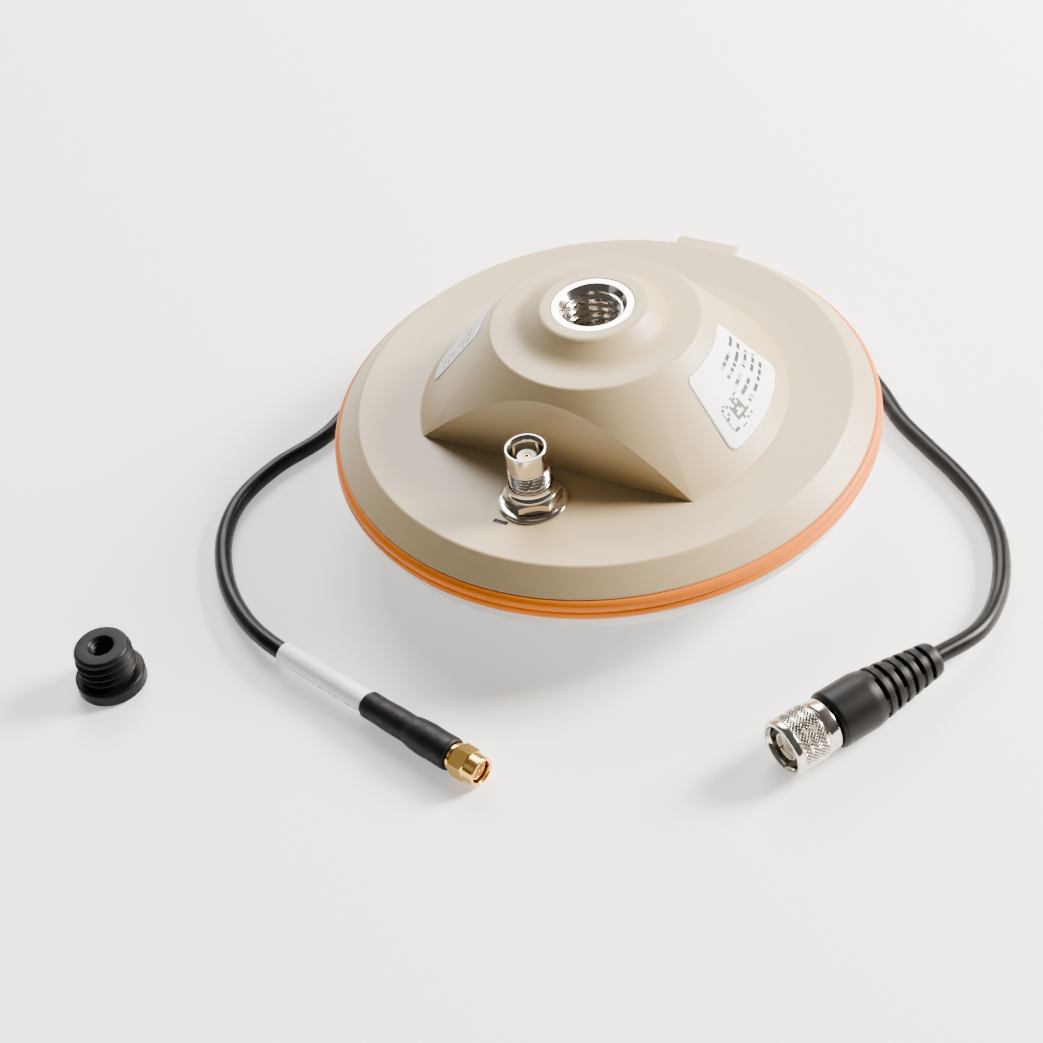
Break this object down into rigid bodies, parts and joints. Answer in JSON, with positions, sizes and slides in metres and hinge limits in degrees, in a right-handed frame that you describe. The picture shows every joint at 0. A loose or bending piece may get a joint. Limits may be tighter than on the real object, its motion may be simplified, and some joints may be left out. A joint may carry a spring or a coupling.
{
  "type": "gnss survey antenna",
  "caption": "Round satellite survey antenna lying dome down, pole thread and jack facing up, with a loose coaxial lead and a thread adapter beside it.",
  "frame": {"origin": "on the antenna axis at the flat apex of its dome, on the table it lies on", "axes": "+Z along the antenna axis out of the mouth of the pole thread, -Y towards the jack and the flat cut into the cone, +Y towards the tab on the rim, +X completes a right-handed frame"},
  "size_m": [0.2231, 0.2157, 0.0622],
  "materials": {
    "base_housing": "fine textured satin",
    "radome": "satin",
    "rim_band": "satin",
    "base_seal": "matt",
    "thread_insert": "bright nickel plate",
    "jack_body": "bright nickel plate",
    "jack_nut": "bright nickel plate",
    "jack_washer": "bright nickel plate",
    "jack_insulator": "waxy",
    "jack_contact": "gold plate",
    "jack_seal": "matt",
    "jack_pigtail": "matt",
    "label_right": "semi gloss film",
    "label_left": "semi gloss film",
    "vent_mark": "matt",
    "ground_plane": "plain",
    "patch_lower": "fired, unglazed",
    "patch_upper": "fired, unglazed",
    "patch_screw": "turned",
    "lna_board": "solder mask",
    "shield_can": "tinned",
    "standoff_1": "turned",
    "standoff_screw_1": "nickel plate",
    "standoff_2": "turned",
    "standoff_screw_2": "nickel plate",
    "standoff_3": "turned",
    "standoff_screw_3": "nickel plate",
    "standoff_4": "turned",
    "standoff_screw_4": "nickel plate",
    "lead_cable": "satin jacket",
    "tnc_nut": "bright nickel, knurled",
    "tnc_body": "bright nickel plate",
    "tnc_insulator": "waxy",
    "tnc_pin": "gold plate",
    "tnc_gasket": "silicone",
    "tnc_boot": "moulded, satin",
    "sma_nut": "gold plate",
    "sma_body": "gold plate",
    "sma_insulator": "waxy",
    "sma_pin": "gold plate",
    "sma_sleeve": "heat shrunk",
    "marker_sleeve": "matt",
    "thread_adapter": "black anodised"
  },
  "bodies": {
    "antenna": {"base_housing": "base_housing", "radome": "radome", "rim_band": "rim_band", "base_seal": "base_seal", "thread_insert": "thread_insert", "jack_body": "jack_body", "jack_nut": "jack_nut", "jack_washer": "jack_washer", "jack_insulator": "jack_insulator", "jack_contact": "jack_contact", "jack_seal": "jack_seal", "jack_pigtail": "jack_pigtail", "label_right": "label_right", "label_left": "label_left", "vent_mark": "vent_mark", "ground_plane": "ground_plane", "patch_lower": "patch_lower", "patch_upper": "patch_upper", "patch_screw": "patch_screw", "lna_board": "lna_board", "shield_can": "shield_can", "standoff_1": "standoff_1", "standoff_screw_1": "standoff_screw_1", "standoff_2": "standoff_2", "standoff_screw_2": "standoff_screw_2", "standoff_3": "standoff_3", "standoff_screw_3": "standoff_screw_3", "standoff_4": "standoff_4", "standoff_screw_4": "standoff_screw_4"},
    "lead": {"lead_cable": "lead_cable", "tnc_body": "tnc_body", "tnc_insulator": "tnc_insulator", "tnc_pin": "tnc_pin", "tnc_gasket": "tnc_gasket", "tnc_boot": "tnc_boot", "sma_body": "sma_body", "sma_insulator": "sma_insulator", "sma_pin": "sma_pin", "sma_sleeve": "sma_sleeve", "marker_sleeve": "marker_sleeve"},
    "tnc_coupling": {"tnc_nut": "tnc_nut"},
    "sma_coupling": {"sma_nut": "sma_nut"},
    "adapter": {"thread_adapter": "thread_adapter"}
  },
  "joints": [
    {"name": "lead_lift", "type": "slide", "parent": "antenna", "child": "lead", "axis": [0, 0, 1], "range_m": [0, 0.1]},
    {"name": "tnc_nut_spin", "type": "hinge", "parent": "lead", "child": "tnc_coupling", "pos_m": [0.0838, -0.084, 0.0078], "axis": [0.518, 0.8554, 0], "continuous": true},
    {"name": "sma_nut_spin", "type": "hinge", "parent": "lead", "child": "sma_coupling", "pos_m": [0.0163, -0.1145, 0.0048], "axis": [0.968, -0.251, 0], "continuous": true},
    {"name": "adapter_lift", "type": "slide", "parent": "antenna", "child": "adapter", "axis": [0, 0, 1], "range_m": [0, 0.08]}
  ]
}
